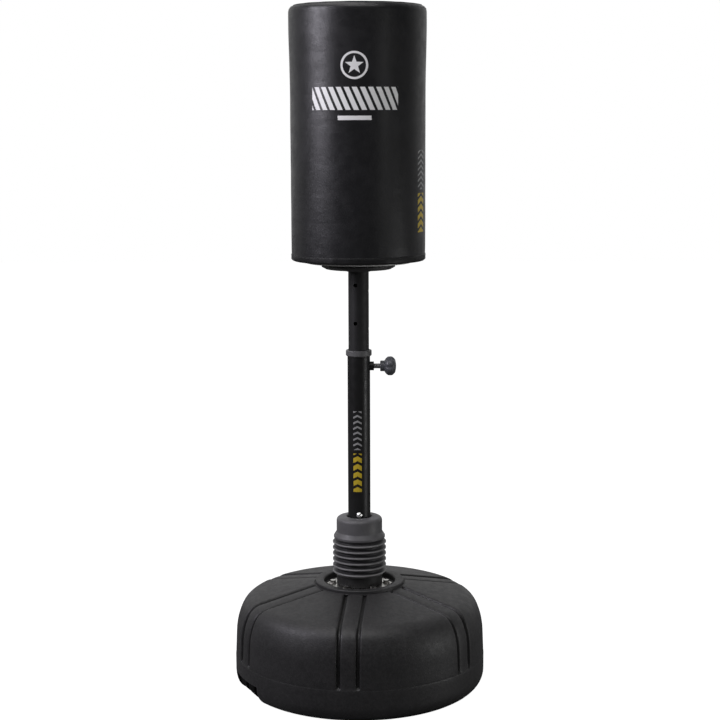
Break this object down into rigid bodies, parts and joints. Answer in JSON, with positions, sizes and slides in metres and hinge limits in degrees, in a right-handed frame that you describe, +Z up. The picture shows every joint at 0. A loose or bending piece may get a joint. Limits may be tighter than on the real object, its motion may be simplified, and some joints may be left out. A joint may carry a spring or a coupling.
{
  "type": "free-standing punch bag",
  "caption": "Padded punch bag on a height-adjustable steel post, sprung at its foot and bolted to a round tank that is filled with water and rolls on tilt wheels.",
  "frame": {"origin": "on the floor, under the middle of the round tank", "axes": "+Z up along the post, -Y towards the viewer, +X towards the lock knob"},
  "size_m": [0.5699, 0.57, 1.53],
  "materials": {
    "tank_plastic": "matte",
    "water": "gloss",
    "seal_rubber": "matte",
    "zinc_steel": "satin",
    "wheel_plastic": "satin",
    "insert_brass": "satin",
    "black_steel": "satin",
    "spring_steel": "satin",
    "bellows_rubber": "matte",
    "plug_steel": "satin",
    "bright_screw": "satin",
    "collar_plastic": "satin",
    "knob_plastic": "satin",
    "black_plastic": "satin",
    "pale_board": "satin",
    "foam": "matte",
    "plywood": "matte",
    "cover_leather": "satin",
    "hem_leather": "satin"
  },
  "bodies": {
    "base": {"base_tank": "tank_plastic", "water_ballast": "water", "wheel_axle": "zinc_steel", "axle_clips": "zinc_steel", "mounting_plate": "zinc_steel", "plate_washers": "zinc_steel", "plate_bolts": "zinc_steel", "tank_inserts": "insert_brass", "spring_cup": "black_steel"},
    "filler": {"filler_plug": "black_plastic", "plug_seal": "seal_rubber"},
    "front_wheel": {"wheel_front": "wheel_plastic"},
    "rear_wheel": {"wheel_rear": "wheel_plastic"},
    "spring": {"coil_spring": "spring_steel", "bellows": "bellows_rubber"},
    "post": {"spring_plug": "plug_steel", "lower_tube": "black_steel", "tube_screws": "bright_screw", "weld_nut": "black_steel", "collar_bush": "collar_plastic"},
    "tip": {"lock_tip": "zinc_steel"},
    "knob": {"lock_screw": "bright_screw", "lock_knob": "knob_plastic"},
    "upper": {"upper_tube": "black_steel", "guide_foot": "collar_plastic", "tube_top_cap": "black_plastic", "support_dish": "black_steel"},
    "slip_ring": {"slip_washer": "black_plastic"},
    "bag": {"bottom_disc": "pale_board", "core_tube": "plug_steel", "flange_screws": "zinc_steel", "foam_core": "foam", "top_board": "plywood", "top_pad": "foam", "bag_cover": "cover_leather", "hem_band": "hem_leather"}
  },
  "joints": [
    {"name": "rock_fore_aft", "type": "hinge", "parent": "base", "child": "spring", "pos_m": [0, 0, 0.292], "axis": [1, 0, 0], "range_deg": [-20, 20], "stiffness_Nm_per_rad": 500, "deforming": ["coil_spring", "bellows"]},
    {"name": "rock_sideways", "type": "hinge", "parent": "spring", "child": "post", "pos_m": [0, 0, 0.292], "axis": [0, 1, 0], "range_deg": [-20, 20], "stiffness_Nm_per_rad": 500, "deforming": ["coil_spring", "bellows"]},
    {"name": "lock_travel", "type": "slide", "parent": "post", "child": "tip", "axis": [-1, 0, 0], "range_m": [0, 0.00875]},
    {"name": "lock_turn", "type": "hinge", "parent": "tip", "child": "knob", "pos_m": [0.07, 0, 0.7365], "axis": [-1, 0, 0], "range_deg": [0, 1800]},
    {"name": "height", "type": "slide", "parent": "post", "child": "upper", "axis": [0, 0, 1], "range_m": [-0.17, 0.085]},
    {"name": "bag_turn", "type": "hinge", "parent": "upper", "child": "slip_ring", "pos_m": [0, 0, 0.966], "axis": [0, 0, 1], "continuous": true},
    {"name": "bag_lift", "type": "slide", "parent": "slip_ring", "child": "bag", "axis": [0, 0, 1], "range_m": [0, 0.44]},
    {"name": "front_wheel_turn", "type": "hinge", "parent": "base", "child": "front_wheel", "pos_m": [-0.22694, -0.10486, 0.036], "axis": [0.4195, -0.9078, 0], "continuous": true},
    {"name": "rear_wheel_turn", "type": "hinge", "parent": "base", "child": "rear_wheel", "pos_m": [-0.22694, -0.10486, 0.036], "axis": [0.4195, -0.9078, 0], "continuous": true},
    {"name": "filler_pull", "type": "slide", "parent": "base", "child": "filler", "axis": [0, 0, 1], "range_m": [0, 0.06]}
  ],
  "couplings": [
    {"joint": "lock_turn", "follows": "lock_travel", "rad_per_m": 3590.4}
  ]
}
